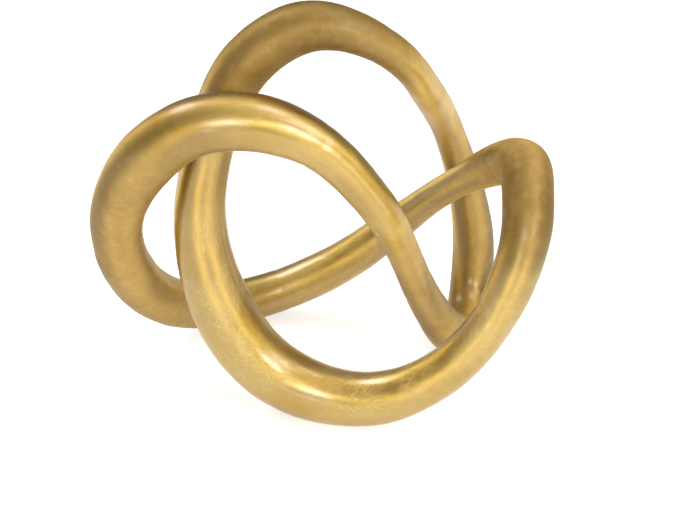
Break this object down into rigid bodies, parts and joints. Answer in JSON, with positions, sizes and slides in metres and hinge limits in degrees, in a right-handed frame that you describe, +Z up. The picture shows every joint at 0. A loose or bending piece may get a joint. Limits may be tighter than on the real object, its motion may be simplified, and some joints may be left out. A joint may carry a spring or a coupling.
{
  "type": "metal knot sculpture",
  "caption": "Free-standing trefoil knot of one closed round metal bar that swells and thins, with a satin gold finish, for a table or shelf.",
  "frame": {"origin": "middle of the outline, at the level of the three ground flats that it stands on", "axes": "+X to the right across the front, +Y to the back, +Z up"},
  "size_m": [0.1422, 0.0911, 0.1447],
  "materials": {
    "gold_metal": "warm gold, hand brushed satin",
    "steel": "ground"
  },
  "bodies": {
    "root": {"arch": "gold_metal", "right_leg": "gold_metal", "crossing_strand": "gold_metal", "left_loop_top": "gold_metal", "left_loop_side": "gold_metal", "diagonal_bar": "gold_metal", "right_lobe": "gold_metal", "front_ring": "gold_metal", "dowel_pins": "steel"}
  },
  "joints": []
}
